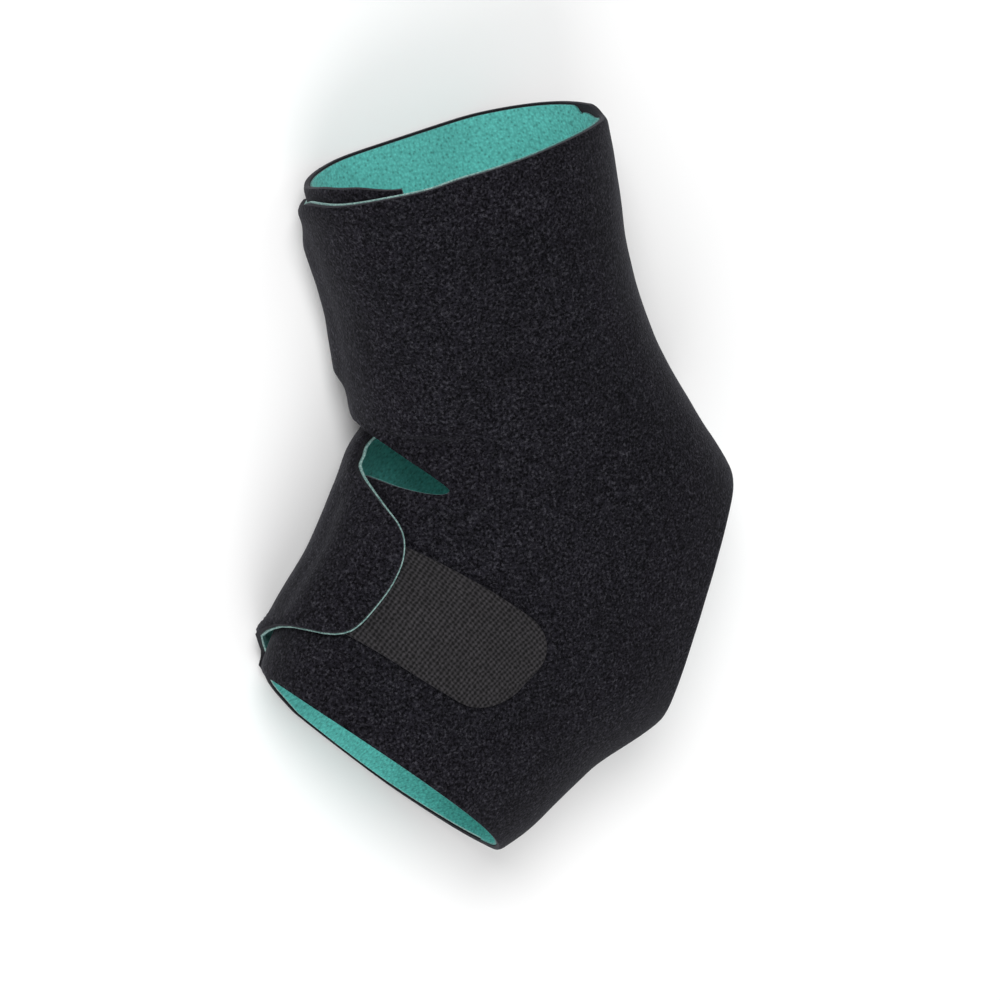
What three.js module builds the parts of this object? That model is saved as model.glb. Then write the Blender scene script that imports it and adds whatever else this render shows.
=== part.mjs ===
// Ankle brace: one sheet of plush-faced foam, lined with mesh, wrapped round the ankle and held by
// two hook tabs. It lies on its far side. +Y runs up the leg, +X to the heel, +Z to the near side.
// Lengths are in millimetres and angles in degrees.
//
// A place on the sheet is a station and an angle. The station runs from 0 at the leg opening to 1 at
// the foot opening. The angle is 0 along the back and 180 along the front, and grows over the near
// side; the far side's angles are negative.
import * as THREE from "three";

// Driving sizes: the inside of the worn brace
const LEG_LENGTH = 73;
const FOOT_LENGTH = 83.5;
const LEG_DEPTH = 89.5;
const HEEL_DEPTH = 131;
const FOOT_DEPTH = 93;
const LEG_WIDTH = 63;
const HEEL_WIDTH = 66;
const FOOT_WIDTH = 60;
const INSTEP_TURN = 40;
const FOOT_TURN = 51;
const OVAL_POWER = 2.2;

// Driving sizes: how the far side lies on a surface
const FLATTENED = 3;
const FLAT_BLEND = 2;

// Driving sizes: the sheet
const SHELL_THICKNESS = 2;
const LINING_THICKNESS = 1;
const BOND_GAP = 0.3;
const LAP_CLEARANCE = 0.5;
const EDGE_REVEAL = 0.8;
const OPENING_REVEAL = 0.4;

// Driving sizes: flaps, measured past the front line
const INNER_LAP = 28;
const LEG_FLAP_LAP = 22;
const LEG_FLAP_DROP = 1.8;
const LEG_FLAP_SLANT = 4.5;
const LEG_FLAP_CORNER = 12;
const LEG_FLAP_RISE = 9;
const UNDER_LAP = 30;
const UNDER_LAP_DROP = 9;
const LOBE_REACH = 23;
const NEAR_LIFT_RUN = 17;
const FAR_LIFT_RUN = 10;
const LIFT_MARGIN = 2;

// Driving sizes: the slit at the front bend and the open heel
const SLIT_REACH = 28.8;
const SLIT_UPPER_DEPTH = 0.8;
const SLIT_UPPER_RUN = 8;
const SLIT_LOWER_DEPTH = 4.6;
const SLIT_LOWER_RUN = 18;
const SLIT_FLARE = 5.8;
const HEEL_HOLE_HEIGHT = 86;
const HEEL_HOLE_WIDTH = 69;

// Driving sizes: how the edges at the leg and foot openings rise and fall
const LEG_HEM_RISE = 2.5;
const FOOT_HEM_WAVE = 1.0;
const NEAR_FOOT_HEM_DROP = 1.2;
const NEAR_FOOT_CUT = 4;
const FAR_LEG_HEM_RISE = 0.3;
const BACK_HEM_DROP = 3;
const NEAR_DROP_START_ANGLE = 150;
const NEAR_DROP_END_ANGLE = 78;
const FAR_DROP_ANGLE = 5;
const FAR_LAP_HEM_RISE = 2.2;
const FAR_FOOT_HEM_DROP = 1.2;
const FAR_FOOT_CUT = 5.5;
const FRONT_FLARE = 1.6;

// Driving sizes: the hook tabs
const TAB_THICKNESS = 1.4;
const INSTEP_TAB_WIDTH = 32;
const INSTEP_TAB_REACH = 69.5;
const INSTEP_TAB_UNDERLAP = 13.5;
const INSTEP_TAB_CORNER = 13;
const LEG_TAB_WIDTH = 32;
const LEG_TAB_LENGTH = 16;
const LEG_TAB_UNDERLAP = 4;
const LEG_TAB_CORNER = 10;
const TAB_LIFT_RUN = 9;
const TAB_LIFT_MARGIN = 3;

// Places of features: stations, angles, and shares of the slit from its end to the front line
const BACK_ANGLE = 0;
const FRONT_ANGLE = 180;
const NEAR_SIDE_ANGLE = 90;
const SLIT_STATION = 0.61;
const HEEL_HOLE_STATION = 0.595;
const INSTEP_TAB_STATION = 0.79;
const INSTEP_TAB_SLANT = 0.024;
const INSTEP_TAB_SLANT_END = 150;
const LEG_TAB_STATION = 0.2;
const HEM_RISE_END = 120;
const HEM_DROP_START = 110;
const HEM_DROP_END = 170;
const FOOT_HEM_TURN = 12;
const FOOT_HEM_START_ANGLE = 50;
const FOOT_HEM_END_ANGLE = 215;
const FLAP_SLANT_END = 205;
const FLAP_RISE_START = 0.98;
const FLAP_RISE_END = 1.5;
const UNDER_DROP_START = 0.95;
const UNDER_DROP_END = 1.45;
const CROSSING_START = 0.1;
const CROSSING_END = 1.1;
const FLARE_START = 0.89;
const FLARE_END = 0.935;
const LEG_HEM_END = 0.15;
const FOOT_HEM_START = 0.85;

// Places of features: lengths past the front line, negative on the near side
const FLARE_NEAR_START = -12;
const FLARE_FAR_START = 30;
const FLARE_FAR_END = 14;
const LAP_RISE_START = 14;
const LAP_RISE_END = -6;
const NEAR_CUT_START = 2;
const NEAR_CUT_END = 22;
const FAR_CUT_START = 44;
const FAR_CUT_END = 22;

// Rows and columns of the sheet's facets
const LEG_ROWS = 8;
const HOLE_ROWS = 5;
const SOLE_ROWS = 4;
const LOBE_EDGE_ROWS = 6;
const LOBE_EDGE_STATION = 0.865;
const NEAR_SIDE_COLUMNS = 10;
const NEAR_FRONT_COLUMNS = 11;
const SLIT_CROWDING = 1.25;
const FAR_FRONT_COLUMNS = 13;
const FAR_SIDE_COLUMNS = 8;
const FAR_FRONT_ANGLE = -125;
const TAB_COLUMNS = 12;
const TAB_ROWS = 8;
const ARC_STEP = 1;
const PROBE = 0.001;

const WALL = LINING_THICKNESS + BOND_GAP + SHELL_THICKNESS;
const LAP_LIFT = WALL + LAP_CLEARANCE;
const TAB_LIFT = TAB_THICKNESS + LAP_CLEARANCE;
const REST_LEVEL = LEG_WIDTH / 2 - FLATTENED;

// Sections from the leg opening to the foot opening, at even stations.
// along: share of the leg's front length (negative) or the foot's (positive), from the bend
// inset: how far the front is set in, as a share of the leg's or foot's depth
// heel: share of the way from the leg's or foot's depth to the heel's
// turn: share of the foot's turn
const SECTIONS = [
  { along: -1.0, inset: 0.0, heel: -0.02, turn: 0.0 },
  { along: -0.73, inset: 0.03, heel: -0.03, turn: 0.01 },
  { along: -0.46, inset: 0.05, heel: -0.05, turn: 0.08 },
  { along: -0.24, inset: 0.04, heel: 0.05, turn: 0.2 },
  { along: -0.09, inset: 0.04, heel: 0.37, turn: 0.36 },
  { along: 0.0, inset: 0.03, heel: 0.8, turn: 0.54 },
  { along: 0.1, inset: 0.03, heel: 1.05, turn: 0.76 },
  { along: 0.22, inset: 0.06, heel: 0.98, turn: 0.98 },
  { along: 0.44, inset: 0.075, heel: 0.55, turn: 1.09 },
  { along: 0.74, inset: 0.04, heel: 0.24, turn: 1.1 },
  { along: 0.95, inset: 0.045, heel: 0.0, turn: 1.04 },
];

// The far side's free edge: how far it reaches past the front line on to the near side.
// inner: share of INNER_LAP, for the leg layer under the leg flap
// lobe: share of LOBE_REACH, for the instep flap and its lobe
const FAR_EDGE = [
  { at: 0.0, inner: 1.0, lobe: 0.0 },
  { at: 0.3, inner: 0.95, lobe: 0.0 },
  { at: 0.43, inner: 0.6, lobe: 0.0 },
  { at: 0.54, inner: 0.0, lobe: -0.065 },
  { at: 0.58, inner: 0.0, lobe: -0.12 },
  { at: 0.606, inner: 0.0, lobe: -0.04 },
  { at: 0.63, inner: 0.0, lobe: 0.0 },
  { at: 0.646, inner: 0.0, lobe: 0.11 },
  { at: 0.67, inner: 0.0, lobe: 0.27 },
  { at: 0.7, inner: 0.0, lobe: 0.52 },
  { at: 0.725, inner: 0.0, lobe: 0.84 },
  { at: 0.755, inner: 0.0, lobe: 0.965 },
  { at: 0.79, inner: 0.0, lobe: 0.985 },
  { at: 0.83, inner: 0.0, lobe: 0.95 },
  { at: 0.87, inner: 0.0, lobe: 0.87 },
  { at: 0.89, inner: 0.0, lobe: 0.75 },
  { at: 0.905, inner: 0.0, lobe: 0.56 },
  { at: 0.92, inner: 0.0, lobe: 0.19 },
  { at: 0.932, inner: 0.0, lobe: -0.13 },
  { at: 0.946, inner: 0.0, lobe: -0.3 },
  { at: 0.958, inner: 0.0, lobe: -0.7 },
  { at: 0.972, inner: 0.0, lobe: -1.0 },
  { at: 1.0, inner: 0.0, lobe: -1.08 },
];

const radians = THREE.MathUtils.degToRad;
const clamp = THREE.MathUtils.clamp;
const lerp = THREE.MathUtils.lerp;

// Rises smoothly from 0 at the start to 1 at the end, in either direction
function ramp(value, start, end) {
  return THREE.MathUtils.smoothstep((value - start) / (end - start), 0, 1);
}

function roundedRise(share) {
  const left = 1 - clamp(share, 0, 1);
  return Math.sqrt(1 - left * left);
}

// A smooth curve through one column of a table whose rows have stations
function readTable(table, column, station) {
  const last = table.length - 1;
  let row = 0;
  while (row < last - 1 && station > table[row + 1].at) {
    row += 1;
  }
  const slopeAt = (index) => {
    const before = table[Math.max(index - 1, 0)];
    const after = table[Math.min(index + 1, last)];
    return (after[column] - before[column]) / (after.at - before.at);
  };
  const start = table[row];
  const end = table[row + 1];
  const span = end.at - start.at;
  const t = (station - start.at) / span;
  const t2 = t * t;
  const t3 = t2 * t;
  return start[column] * (2 * t3 - 3 * t2 + 1)
    + end[column] * (3 * t2 - 2 * t3)
    + slopeAt(row) * span * (t3 - 2 * t2 + t)
    + slopeAt(row + 1) * span * (t3 - t2);
}

// The front and back points and the width of each section
function placeSections() {
  const instep = radians(INSTEP_TURN);
  return SECTIONS.map((section, index) => {
    const onLeg = section.along < 0;
    const depth = onLeg ? LEG_DEPTH : FOOT_DEPTH;
    const width = onLeg ? LEG_WIDTH : FOOT_WIDTH;
    const turned = radians(FOOT_TURN) * section.turn;
    const backward = new THREE.Vector2(Math.cos(turned), -Math.sin(turned));
    const bend = onLeg
      ? new THREE.Vector2(0, -section.along * LEG_LENGTH)
      : new THREE.Vector2(-Math.sin(instep), -Math.cos(instep)).multiplyScalar(section.along * FOOT_LENGTH);
    const front = bend.clone().addScaledVector(backward, section.inset * depth);
    const back = bend.clone().addScaledVector(backward, lerp(depth, HEEL_DEPTH, section.heel));
    return {
      at: index / (SECTIONS.length - 1),
      frontX: front.x,
      frontY: front.y,
      backX: back.x,
      backY: back.y,
      width: lerp(width, HEEL_WIDTH, clamp(section.heel, 0, 1)),
    };
  });
}

const PLACED = placeSections();

function powered(value) {
  return Math.sign(value) * Math.abs(value) ** (2 / OVAL_POWER);
}

// The lining's inner face, with the far side pressed flat where it lies on the surface
function innerFace(station, angle) {
  const across = powered(Math.cos(radians(angle)));
  const outward = powered(Math.sin(radians(angle)));
  const frontX = readTable(PLACED, "frontX", station);
  const frontY = readTable(PLACED, "frontY", station);
  const backX = readTable(PLACED, "backX", station);
  const backY = readTable(PLACED, "backY", station);
  const height = (readTable(PLACED, "width", station) / 2) * outward + REST_LEVEL;
  let pressed = height;
  if (height < FLAT_BLEND) {
    pressed = height < -FLAT_BLEND ? 0 : (height + FLAT_BLEND) ** 2 / (4 * FLAT_BLEND);
  }
  return new THREE.Vector3(
    (frontX + backX) / 2 + ((backX - frontX) / 2) * across,
    (frontY + backY) / 2 + ((backY - frontY) / 2) * across,
    pressed + WALL,
  );
}

function alongStation(station, angle) {
  return innerFace(station + PROBE, angle).sub(innerFace(station - PROBE, angle)).divideScalar(2 * PROBE);
}

function alongAngle(station, angle) {
  return innerFace(station, angle + PROBE).sub(innerFace(station, angle - PROBE)).divideScalar(2 * PROBE);
}

function sheetPoint(station, angle, height) {
  const normal = alongAngle(station, angle).cross(alongStation(station, angle)).normalize();
  return innerFace(station, angle).addScaledVector(normal, height);
}

function stationsFor(station, angle, length) {
  return length / alongStation(station, angle).length();
}

// The angle that lies a given length round the sheet from a starting angle
function angleAfter(station, startAngle, length) {
  const step = Math.sign(length) * ARC_STEP;
  let angle = startAngle;
  let left = Math.abs(length);
  let here = innerFace(station, angle);
  while (left > 0) {
    const next = innerFace(station, angle + step);
    const run = here.distanceTo(next);
    angle += step * Math.min(1, left / run);
    left -= run;
    here = next;
  }
  return angle;
}

// A smooth rise between two lengths past the front line, read at one place
function rampPast(station, angle, fromLength, toLength) {
  const from = angleAfter(station, FRONT_ANGLE, fromLength);
  const to = angleAfter(station, FRONT_ANGLE, toLength);
  return ramp(angle, from, to);
}

function farReach(station) {
  return INNER_LAP * readTable(FAR_EDGE, "inner", station) + LOBE_REACH * readTable(FAR_EDGE, "lobe", station);
}

// How much longer the far edge is than the stretch of front that it spans
function farEdgeSlant(station) {
  const run = farReach(station + PROBE) - farReach(station - PROBE);
  return Math.hypot(1, run / (alongStation(station, FRONT_ANGLE).length() * 2 * PROBE));
}

// The slit's two edges, and the lines beyond the front that the flaps follow from them
const SLIT_END = angleAfter(SLIT_STATION, FRONT_ANGLE, -SLIT_REACH);

function slitEdges(angle) {
  const share = Math.max(angle - SLIT_END, 0) / (FRONT_ANGLE - SLIT_END);
  const run = share * SLIT_REACH;
  const rise = SLIT_UPPER_DEPTH * roundedRise(run / SLIT_UPPER_RUN) + SLIT_FLARE * share;
  const drop = SLIT_LOWER_DEPTH * roundedRise(run / SLIT_LOWER_RUN);
  const flapRise = LEG_FLAP_RISE * ramp(share, FLAP_RISE_START, FLAP_RISE_END);
  const underDrop = UNDER_LAP_DROP * ramp(share, UNDER_DROP_START, UNDER_DROP_END);
  return {
    upper: SLIT_STATION - stationsFor(SLIT_STATION, angle, rise + flapRise),
    lower: SLIT_STATION + stationsFor(SLIT_STATION, angle, drop + underDrop),
  };
}

// The heel hole is an oval that straddles the back line
const HOLE_HALF_SPAN = stationsFor(HEEL_HOLE_STATION, BACK_ANGLE, HEEL_HOLE_HEIGHT / 2);
const HOLE_TOP = HEEL_HOLE_STATION - HOLE_HALF_SPAN;
const HOLE_BOTTOM = HEEL_HOLE_STATION + HOLE_HALF_SPAN;

function holeAngle(station) {
  const share = (station - HEEL_HOLE_STATION) / HOLE_HALF_SPAN;
  const halfWidth = (HEEL_HOLE_WIDTH / 2) * Math.sqrt(Math.max(1 - share * share, 0));
  return halfWidth < ARC_STEP ? BACK_ANGLE : angleAfter(station, BACK_ANGLE, halfWidth);
}

// The hook tabs, measured from the front line: the instep tab over the near side, the leg tab over the far
const INSTEP_TAB = {
  width: INSTEP_TAB_WIDTH,
  corner: INSTEP_TAB_CORNER,
  start: LOBE_REACH - INSTEP_TAB_UNDERLAP,
  end: INSTEP_TAB_REACH,
  side: -1,
  station: INSTEP_TAB_STATION,
  slant: INSTEP_TAB_SLANT,
};
const LEG_TAB = {
  width: LEG_TAB_WIDTH,
  corner: LEG_TAB_CORNER,
  start: LEG_FLAP_LAP - LEG_TAB_UNDERLAP,
  end: LEG_FLAP_LAP - LEG_TAB_UNDERLAP + LEG_TAB_LENGTH,
  side: 1,
  station: LEG_TAB_STATION,
  slant: 0,
};

function tabMiddle(tab, angle) {
  const share = (angle - NEAR_SIDE_ANGLE) / (INSTEP_TAB_SLANT_END - NEAR_SIDE_ANGLE);
  return tab.station + tab.slant * clamp(share, 0, 1);
}

// How far a flap stands off a tab that lies under it: fully over the tab, and not at all beside it
function overTab(tab, station, angle) {
  const middle = tabMiddle(tab, angle);
  const beside = Math.abs(station - middle) / stationsFor(middle, angle, 1) - tab.width / 2;
  const before = tab.start - TAB_LIFT_MARGIN;
  const full = angleAfter(station, FRONT_ANGLE, tab.side * before);
  const start = angleAfter(station, FRONT_ANGLE, tab.side * (before - TAB_LIFT_RUN));
  const across = ramp(beside, TAB_LIFT_MARGIN + TAB_LIFT_RUN, TAB_LIFT_MARGIN);
  return TAB_LIFT * across * ramp(angle, start, full);
}

// How far each layer stands off where it laps over another
function nearUpperLift(station, angle) {
  const edge = -Math.max(farReach(station), 0) - LIFT_MARGIN;
  const full = angleAfter(station, FRONT_ANGLE, edge);
  const start = angleAfter(station, FRONT_ANGLE, edge - NEAR_LIFT_RUN);
  return LAP_LIFT * ramp(angle, start, full) + overTab(LEG_TAB, station, angle);
}

function farLift(station, angle) {
  const seenAngle = angle + 360;
  const full = angleAfter(station, FRONT_ANGLE, UNDER_LAP + LIFT_MARGIN);
  const start = angleAfter(station, FRONT_ANGLE, UNDER_LAP + LIFT_MARGIN + FAR_LIFT_RUN);
  const edges = slitEdges(seenAngle);
  const crossing = (station - edges.upper) / (edges.lower - edges.upper);
  const crossed = ramp(crossing, CROSSING_START, CROSSING_END);
  const flared = FRONT_FLARE * ramp(station, FLARE_START, FLARE_END)
    * rampPast(station, seenAngle, FLARE_NEAR_START, 0)
    * rampPast(station, seenAngle, FLARE_FAR_START, FLARE_FAR_END);
  return LAP_LIFT * ramp(seenAngle, start, full) * crossed + flared + overTab(INSTEP_TAB, station, seenAngle);
}

// Rows of facets, crowded at the hole's ends and along the lobe's lower edge
function evenRun(from, to, count) {
  return Array.from({ length: count }, (_, index) => lerp(from, to, index / count));
}

const UPPER_ROWS = [
  ...evenRun(0, HOLE_TOP, LEG_ROWS),
  ...evenRun(0, 1, HOLE_ROWS).map((t) => lerp(SLIT_STATION, HOLE_TOP, Math.cos((t * Math.PI) / 2))),
  SLIT_STATION,
];
const LOWER_ROWS = [
  ...evenRun(0, 1, HOLE_ROWS).map((t) => lerp(SLIT_STATION, HOLE_BOTTOM, Math.sin((t * Math.PI) / 2))),
  ...evenRun(HOLE_BOTTOM, LOBE_EDGE_STATION, SOLE_ROWS),
  ...evenRun(LOBE_EDGE_STATION, 1, LOBE_EDGE_ROWS),
  1,
];
const FAR_ROWS = [...UPPER_ROWS, ...LOWER_ROWS.slice(1)];

// Each patch is rows of places {station, angle, lift}, with the angle growing along a row
function columns(count, fromAngle, toAngle, place) {
  return Array.from({ length: count + 1 }, (_, index) => place(lerp(fromAngle, toAngle, index / count)));
}

// A near row has the same columns up to the slit's end on both sides of the slit, then crowds them there
function nearColumns(row, toAngle, place) {
  return [
    ...columns(NEAR_SIDE_COLUMNS, holeAngle(row), SLIT_END, place),
    ...columns(NEAR_FRONT_COLUMNS, 0, 1, (share) => share ** SLIT_CROWDING)
      .slice(1)
      .map((share) => place(lerp(SLIT_END, toAngle, share))),
  ];
}

// The lining shows past the shell at the leg opening and at the flaps' free ends
function revealed(row, place, reveal) {
  const raised = row === 0 ? stationsFor(0, place.angle, reveal.opening) : 0;
  return { ...place, station: place.station - raised };
}

function endRevealed(place, length) {
  return { ...place, angle: angleAfter(place.station, place.angle, length) };
}

// The near side's edge at the leg opening rises beside the back and falls along the flap
function nearHem(angle) {
  const rise = LEG_HEM_RISE * Math.sin(Math.PI * clamp(angle / HEM_RISE_END, 0, 1));
  const drop = LEG_FLAP_DROP * ramp(angle, HEM_DROP_START, HEM_DROP_END);
  const slant = LEG_FLAP_SLANT * ramp(angle, FRONT_ANGLE, FLAP_SLANT_END);
  const backDrop = BACK_HEM_DROP * ramp(angle, NEAR_DROP_START_ANGLE, NEAR_DROP_END_ANGLE);
  return stationsFor(0, angle, drop + slant + backDrop - rise);
}

function nearUpperPatch(reveal) {
  return UPPER_ROWS.map((row) => {
    const share = row / SLIT_STATION;
    const cornerShare = clamp(1 - ((1 - share) * LEG_LENGTH) / LEG_FLAP_CORNER, 0, 1);
    const lap = LEG_FLAP_LAP - LEG_FLAP_CORNER * (1 - Math.sqrt(1 - cornerShare * cornerShare));
    const places = nearColumns(row, angleAfter(row, FRONT_ANGLE, lap), (angle) => {
      const station = lerp(nearHem(angle), slitEdges(angle).upper, share);
      return revealed(row, { station, angle, lift: nearUpperLift(station, angle) }, reveal);
    });
    return [...places, endRevealed(places.at(-1), reveal.edge)];
  });
}

function nearLowerPatch() {
  return LOWER_ROWS.map((row) => {
    const share = (row - SLIT_STATION) / (1 - SLIT_STATION);
    return nearColumns(row, angleAfter(row, FRONT_ANGLE, UNDER_LAP), (angle) => {
      const setback = FOOT_HEM_WAVE * Math.sin(radians(2 * (angle - FOOT_HEM_TURN)))
        * ramp(angle, BACK_ANGLE, FOOT_HEM_START_ANGLE) * ramp(angle, FOOT_HEM_END_ANGLE, FRONT_ANGLE);
      const cut = NEAR_FOOT_CUT * rampPast(1, angle, NEAR_CUT_START, NEAR_CUT_END);
      const belly = NEAR_FOOT_HEM_DROP * Math.sin(radians(clamp(angle, 0, FRONT_ANGLE)));
      const station = lerp(slitEdges(angle).lower, 1 - stationsFor(1, angle, setback + cut - belly), share);
      return { station, angle, lift: 0 };
    });
  });
}

// The far side's edges at the two openings bow outward, and give way where they near the front
function farHems(row, angle) {
  const seenAngle = angle + 360;
  const belly = Math.sin(radians(clamp(-angle, 0, FRONT_ANGLE)));
  const lapRise = FAR_LAP_HEM_RISE * rampPast(row, seenAngle, LAP_RISE_START, LAP_RISE_END)
    * rampPast(row, seenAngle, -INNER_LAP, -INNER_LAP / 2);
  const cut = FAR_FOOT_CUT * rampPast(row, seenAngle, FAR_CUT_START, FAR_CUT_END);
  const rise = stationsFor(0, angle, FAR_LEG_HEM_RISE * belly + lapRise) * ramp(row, LEG_HEM_END, 0);
  const drop = stationsFor(1, angle, FAR_FOOT_HEM_DROP * belly * belly - cut) * ramp(row, FOOT_HEM_START, 1);
  const backDrop = stationsFor(0, angle, BACK_HEM_DROP * ramp(-angle, FAR_DROP_ANGLE, 0))
    * clamp(1 - row / SLIT_STATION, 0, 1);
  return row - rise + drop + backDrop;
}

function farPatch(reveal) {
  return FAR_ROWS.map((row) => {
    const endAngle = angleAfter(row, FRONT_ANGLE, -farReach(row)) - 360;
    const place = (angle) => {
      const station = farHems(row, angle);
      return revealed(row, { station, angle, lift: farLift(station, angle) }, reveal);
    };
    const places = [
      ...columns(FAR_FRONT_COLUMNS, endAngle, FAR_FRONT_ANGLE, place),
      ...columns(FAR_SIDE_COLUMNS, FAR_FRONT_ANGLE, -holeAngle(row), place).slice(1),
    ];
    return [endRevealed(places[0], -reveal.edge * farEdgeSlant(row)), ...places];
  });
}

function tabPatch(tab) {
  const startOf = (station) => angleAfter(station, FRONT_ANGLE, tab.side * tab.start);
  const middle = tabMiddle(tab, startOf(tab.station));
  return Array.from({ length: TAB_ROWS + 1 }, (_, index) => {
    const across = Math.sin((index / TAB_ROWS - 0.5) * Math.PI);
    const intoCorner = (Math.abs(across) - 1) * (tab.width / 2) + tab.corner;
    const cornerShare = clamp(intoCorner / tab.corner, 0, 1);
    const end = tab.end - tab.corner * (1 - Math.sqrt(1 - cornerShare * cornerShare));
    const angles = [startOf(middle), angleAfter(middle, FRONT_ANGLE, tab.side * end)];
    return columns(TAB_COLUMNS, Math.min(...angles), Math.max(...angles), (angle) => {
      const centre = tabMiddle(tab, angle);
      const station = centre + across * stationsFor(centre, angle, tab.width / 2);
      return { station, angle, lift: WALL + LAP_CLEARANCE };
    });
  });
}

// One closed solid from patches of the sheet, between two heights over the inner face
function thickened(patches, bottom, top) {
  const positions = [];
  const grounds = [];
  const indices = [];
  const known = new Map();
  const edges = new Map();

  const vertexOf = ({ station, angle, lift }) => {
    const key = `${station.toFixed(6)} ${angle.toFixed(5)}`;
    if (!known.has(key)) {
      known.set(key, positions.length / 3);
      grounds[positions.length / 3] = innerFace(station, angle);
      sheetPoint(station, angle, lift + top).toArray(positions, positions.length);
      sheetPoint(station, angle, lift + bottom).toArray(positions, positions.length);
    }
    return known.get(key);
  };

  const addTriangle = (a, b, c) => {
    if (a === b || b === c || c === a) {
      return;
    }
    indices.push(a, b, c, c + 1, b + 1, a + 1);
    for (const [from, to] of [[a, b], [b, c], [c, a]]) {
      if (!edges.delete(`${to} ${from}`)) {
        edges.set(`${from} ${to}`, [from, to]);
      }
    }
  };

  for (const patch of patches) {
    for (let row = 0; row < patch.length - 1; row += 1) {
      for (let column = 0; column < patch[row].length - 1; column += 1) {
        const a = vertexOf(patch[row][column]);
        const b = vertexOf(patch[row][column + 1]);
        const c = vertexOf(patch[row + 1][column + 1]);
        const d = vertexOf(patch[row + 1][column]);
        if (grounds[a].distanceTo(grounds[c]) < grounds[b].distanceTo(grounds[d])) {
          addTriangle(a, b, c);
          addTriangle(a, c, d);
        } else {
          addTriangle(a, b, d);
          addTriangle(b, c, d);
        }
      }
    }
  }
  for (const [from, to] of edges.values()) {
    indices.push(to, from, from + 1, to, from + 1, to + 1);
  }

  const geometry = new THREE.BufferGeometry();
  geometry.setAttribute("position", new THREE.Float32BufferAttribute(positions, 3));
  geometry.setIndex(indices);
  geometry.computeVertexNormals();
  return geometry;
}

function namedMesh(name, geometry, color, roughness) {
  const mesh = new THREE.Mesh(geometry, new THREE.MeshStandardMaterial({ color, roughness, metalness: 0 }));
  mesh.name = name;
  return mesh;
}

function bodyShell() {
  const reveal = { edge: 0, opening: 0 };
  const patches = [nearUpperPatch(reveal), nearLowerPatch(), farPatch(reveal)];
  return namedMesh("body_shell", thickened(patches, WALL - SHELL_THICKNESS, WALL), 0x232226, 0.95);
}

function lining() {
  const reveal = { edge: EDGE_REVEAL, opening: OPENING_REVEAL };
  const patches = [nearUpperPatch(reveal), nearLowerPatch(), farPatch(reveal)];
  return namedMesh("lining", thickened(patches, 0, LINING_THICKNESS), 0x4f9b95, 0.9);
}

function hookTab(name, tab) {
  return namedMesh(name, thickened([tabPatch(tab)], 0, TAB_THICKNESS), 0x2d2c2f, 0.8);
}

// The assembly, with its origin under the middle of its box
const brace = new THREE.Group();
brace.add(bodyShell());
brace.add(lining());
brace.add(hookTab("instep_hook_tab", INSTEP_TAB));
brace.add(hookTab("leg_hook_tab", LEG_TAB));
const bounds = new THREE.Box3().setFromObject(brace);
const middle = bounds.getCenter(new THREE.Vector3());
brace.position.set(-middle.x, -middle.y, -bounds.min.z);

export default brace;
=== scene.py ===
# Ankle brace: one sheet of plush-faced foam with a knitted mesh lining, wrapped round the ankle and
# held by two hook tabs. It lies on its far side. +Y runs up the leg, +X to the heel, +Z to the near side.
import math

import bpy
import numpy as np
from mathutils import Matrix, Vector, noise
from mathutils.kdtree import KDTree


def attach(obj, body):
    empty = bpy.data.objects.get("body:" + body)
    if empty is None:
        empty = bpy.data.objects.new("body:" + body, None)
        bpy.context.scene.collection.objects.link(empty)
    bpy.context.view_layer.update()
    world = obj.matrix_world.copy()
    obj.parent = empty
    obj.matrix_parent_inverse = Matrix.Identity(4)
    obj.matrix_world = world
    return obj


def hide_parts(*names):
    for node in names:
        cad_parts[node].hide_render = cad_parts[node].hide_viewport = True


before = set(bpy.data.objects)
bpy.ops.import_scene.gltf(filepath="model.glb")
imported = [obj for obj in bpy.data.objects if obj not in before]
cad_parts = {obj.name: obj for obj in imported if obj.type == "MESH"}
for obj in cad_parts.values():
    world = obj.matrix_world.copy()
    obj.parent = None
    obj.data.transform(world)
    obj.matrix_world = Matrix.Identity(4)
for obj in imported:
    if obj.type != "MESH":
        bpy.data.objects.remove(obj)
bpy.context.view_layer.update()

# Sizes in millimetres and degrees, the same as the solids have but for the leg hem's back corner
LEG_LENGTH = 73
FOOT_LENGTH = 83.5
LEG_DEPTH = 89.5
HEEL_DEPTH = 131
FOOT_DEPTH = 93
LEG_WIDTH = 63
HEEL_WIDTH = 66
FOOT_WIDTH = 60
INSTEP_TURN = 40
FOOT_TURN = 51
OVAL_POWER = 2.2
FLATTENED = 3
FLAT_BLEND = 2
SHELL_THICKNESS = 2
LINING_THICKNESS = 1
BOND_GAP = 0.3
LAP_CLEARANCE = 0.5
INNER_LAP = 28
LEG_FLAP_LAP = 22
LEG_FLAP_DROP = 1.8
LEG_FLAP_SLANT = 4.5
LEG_FLAP_CORNER = 12
LEG_FLAP_RISE = 9
UNDER_LAP = 30
UNDER_LAP_DROP = 9
LOBE_REACH = 23
LIFT_RUN = 17
FAR_LIFT_RUN = 10
LIFT_MARGIN = 2
SLIT_REACH = 28.8
SLIT_UPPER_DEPTH = 0.8
SLIT_UPPER_RUN = 8
SLIT_LOWER_DEPTH = 4.6
SLIT_LOWER_RUN = 18
SLIT_FLARE = 5.8
HEEL_HOLE_HEIGHT = 86
HEEL_HOLE_WIDTH = 69
LEG_HEM_RISE = 2.5
FOOT_HEM_WAVE = 1.0
NEAR_FOOT_HEM_DROP = 1.2
FOOT_HEM_TURN = 12
FAR_LEG_HEM_RISE = 0.3
BACK_HEM_DROP = 3.0
FAR_LAP_HEM_RISE = 2.2
FAR_FOOT_HEM_DROP = 1.2
FRONT_FLARE = 1.6
FAR_FOOT_CUT = 5.5
NEAR_FOOT_CUT = 4
TAB_THICKNESS = 1.4
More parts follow.
